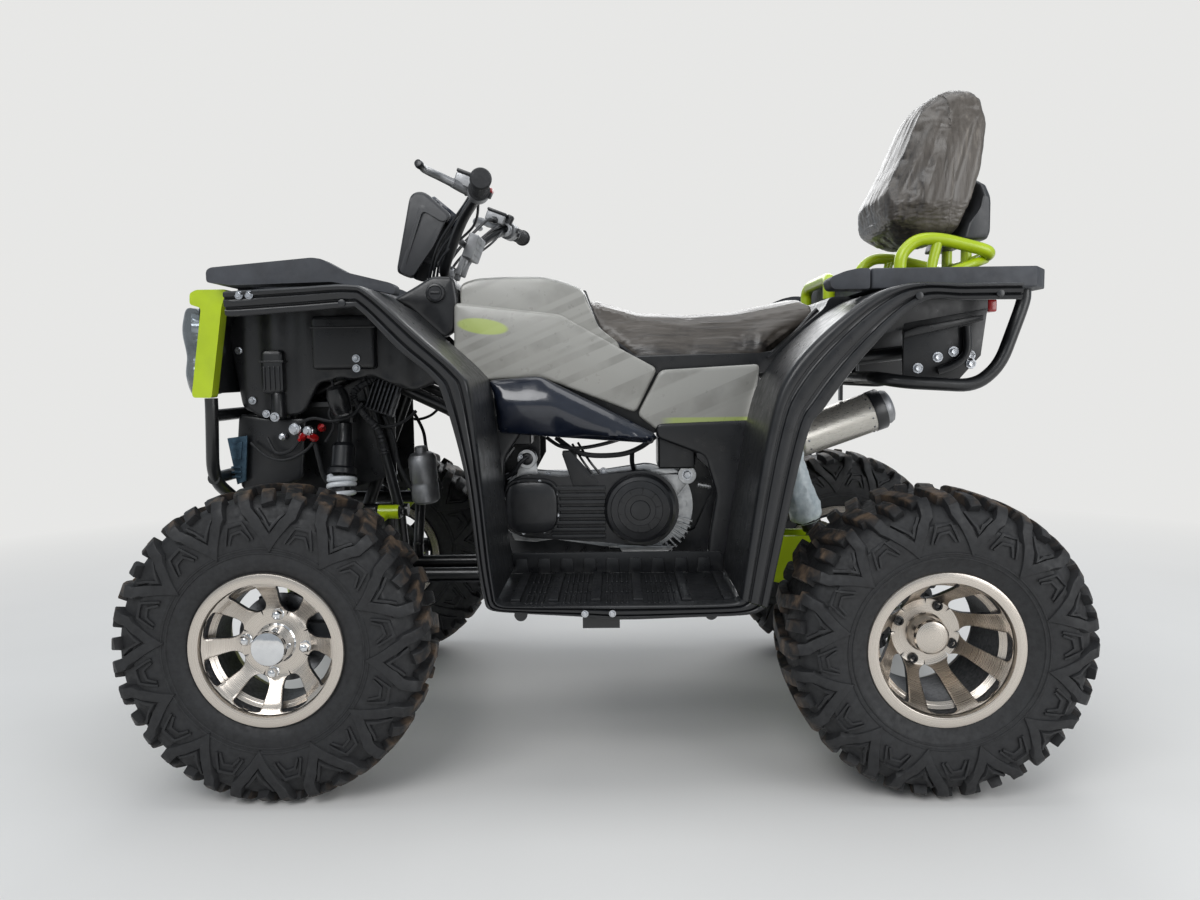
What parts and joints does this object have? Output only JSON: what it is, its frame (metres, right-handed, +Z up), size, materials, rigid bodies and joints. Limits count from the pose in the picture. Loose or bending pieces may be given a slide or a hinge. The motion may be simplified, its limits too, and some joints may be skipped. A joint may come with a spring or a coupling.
{
  "type": "quad bike",
  "caption": "Utility quad bike with knobbly tyres, racks front and rear, a handlebar, footwells, a saddle and a passenger backrest.",
  "frame": {"origin": "on the ground, at the middle of the overall length and width", "axes": "+X forward, +Y to the rider's left, +Z up"},
  "size_m": [1.78, 1.068, 1.386],
  "materials": {
    "frame_paint": "satin powder coat",
    "skid_steel": "matt paint",
    "cast_alloy": "as cast",
    "case_black": "satin paint",
    "exhaust_steel": "heat-dulled",
    "muffler_alloy": "brushed",
    "chain_steel": "oiled",
    "black_plastic": "moulded",
    "grey_panel": "painted",
    "gloss_black": "gloss",
    "rack_plastic": "textured",
    "wrapped_vinyl": "vinyl under clear film",
    "lime_paint": "gloss",
    "lamp_lens": "clear",
    "tail_lens": "clear",
    "spring_white": "gloss",
    "shock_grey": "satin",
    "grip_rubber": "moulded",
    "control_alloy": "satin",
    "knuckle_iron": "painted",
    "tyre": "moulded",
    "machined_alloy": "machined",
    "axle_steel": "turned"
  },
  "bodies": {
    "chassis": {"frame_lower": "frame_paint", "frame_front": "frame_paint", "frame_rear": "frame_paint", "skid_plate": "skid_steel", "engine": "cast_alloy", "cvt_case": "case_black", "exhaust_pipe": "exhaust_steel", "muffler": "muffler_alloy", "drive_chain": "chain_steel", "nose": "black_plastic", "cowl": "black_plastic", "splash_guard": "black_plastic", "front_fenders": "black_plastic", "rear_fenders": "black_plastic", "rear_body": "black_plastic", "tank_cover": "grey_panel", "side_panels": "grey_panel", "lower_panels": "gloss_black", "footwells": "black_plastic", "front_rack": "rack_plastic", "rear_rack": "rack_plastic", "seat": "wrapped_vinyl", "backrest_pad": "wrapped_vinyl", "backrest_shell": "black_plastic", "grab_rails": "lime_paint", "front_bumper": "lime_paint", "front_guard": "frame_paint", "rear_bumper": "frame_paint", "headlights": "lamp_lens", "tail_lights": "tail_lens", "upper_arms": "lime_paint", "lower_arms": "lime_paint", "front_shocks": "spring_white", "swingarm": "lime_paint", "rear_shock": "shock_grey"},
    "steering": {"steering_column": "frame_paint", "handlebar": "frame_paint", "bar_cover": "black_plastic", "grips": "grip_rubber", "controls": "control_alloy"},
    "left_knuckle": {"knuckle_left": "knuckle_iron"},
    "right_knuckle": {"knuckle_right": "knuckle_iron"},
    "left_front_wheel": {"front_tyre_left": "tyre", "front_rim_left": "machined_alloy"},
    "right_front_wheel": {"front_tyre_right": "tyre", "front_rim_right": "machined_alloy"},
    "left_tie_rod": {"tie_rod_left": "axle_steel"},
    "right_tie_rod": {"tie_rod_right": "axle_steel"},
    "rear_wheels": {"rear_tyres": "tyre", "rear_rims": "machined_alloy", "rear_axle": "axle_steel"}
  },
  "joints": [
    {"name": "steering", "type": "hinge", "parent": "chassis", "child": "steering", "pos_m": [0.6, 0, 0.34378], "axis": [-0.3584, 0, 0.9336], "range_deg": [-34, 34]},
    {"name": "left_kingpin", "type": "hinge", "parent": "chassis", "child": "left_knuckle", "pos_m": [0.6, 0.345, 0.29], "axis": [0, 0, 1], "range_deg": [-34, 34]},
    {"name": "right_kingpin", "type": "hinge", "parent": "chassis", "child": "right_knuckle", "pos_m": [0.6, -0.345, 0.29], "axis": [0, 0, 1], "range_deg": [-34, 34]},
    {"name": "left_front_spin", "type": "hinge", "parent": "left_knuckle", "child": "left_front_wheel", "pos_m": [0.6, 0.445, 0.29], "axis": [0, 1, 0], "continuous": true},
    {"name": "right_front_spin", "type": "hinge", "parent": "right_knuckle", "child": "right_front_wheel", "pos_m": [0.6, -0.445, 0.29], "axis": [0, 1, 0], "continuous": true},
    {"name": "rear_axle_spin", "type": "hinge", "parent": "chassis", "child": "rear_wheels", "pos_m": [-0.61, 0, 0.28], "axis": [0, 1, 0], "continuous": true},
    {"name": "left_rod_swivel", "type": "hinge", "parent": "steering", "child": "left_tie_rod", "pos_m": [0.65788, 0, 0.366], "axis": [-0.3584, 0, 0.9336], "range_deg": [-34, 34]},
    {"name": "right_rod_swivel", "type": "hinge", "parent": "steering", "child": "right_tie_rod", "pos_m": [0.65788, 0, 0.366], "axis": [-0.3584, 0, 0.9336], "range_deg": [-34, 34]}
  ],
  "couplings": [
    {"joint": "left_kingpin", "follows": "steering", "ratio": 1},
    {"joint": "right_kingpin", "follows": "steering", "ratio": 1},
    {"joint": "left_rod_swivel", "follows": "steering", "ratio": -1},
    {"joint": "right_rod_swivel", "follows": "steering", "ratio": -1}
  ]
}
